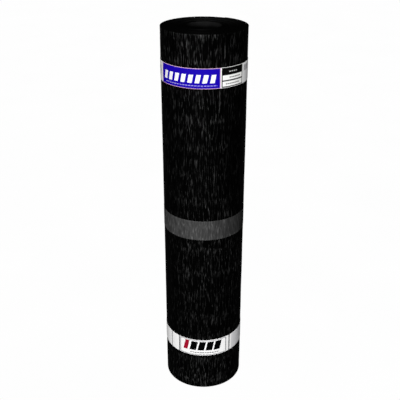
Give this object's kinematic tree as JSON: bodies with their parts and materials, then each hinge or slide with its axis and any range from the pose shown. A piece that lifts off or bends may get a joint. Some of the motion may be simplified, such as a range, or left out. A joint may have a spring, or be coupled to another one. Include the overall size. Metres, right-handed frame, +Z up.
{
  "type": "roll of roofing felt",
  "caption": "Roll of bitumen roofing felt standing on its end, wound round an open bore and held closed by paper bands.",
  "frame": {"origin": "centre of the lower end, on the floor that the roll stands on", "axes": "+Z up along the bore; the labels' printed fronts face -Y"},
  "size_m": [0.2128, 0.2128, 1],
  "materials": {
    "bitumen_felt": "black bitumen sheet with a crinkled, slightly shiny film face",
    "printed_label_blue": "printed paper with a smooth, slightly shiny face",
    "grey_tape": "grey paper tape with a slight sheen, crinkled over the sheet below it",
    "printed_label_white": "printed white paper with a smooth, slightly shiny face"
  },
  "bodies": {
    "root": {"felt_roll": "bitumen_felt", "upper_label_band": "printed_label_blue", "middle_tape_band": "grey_tape", "lower_label_band": "printed_label_white"}
  },
  "joints": []
}
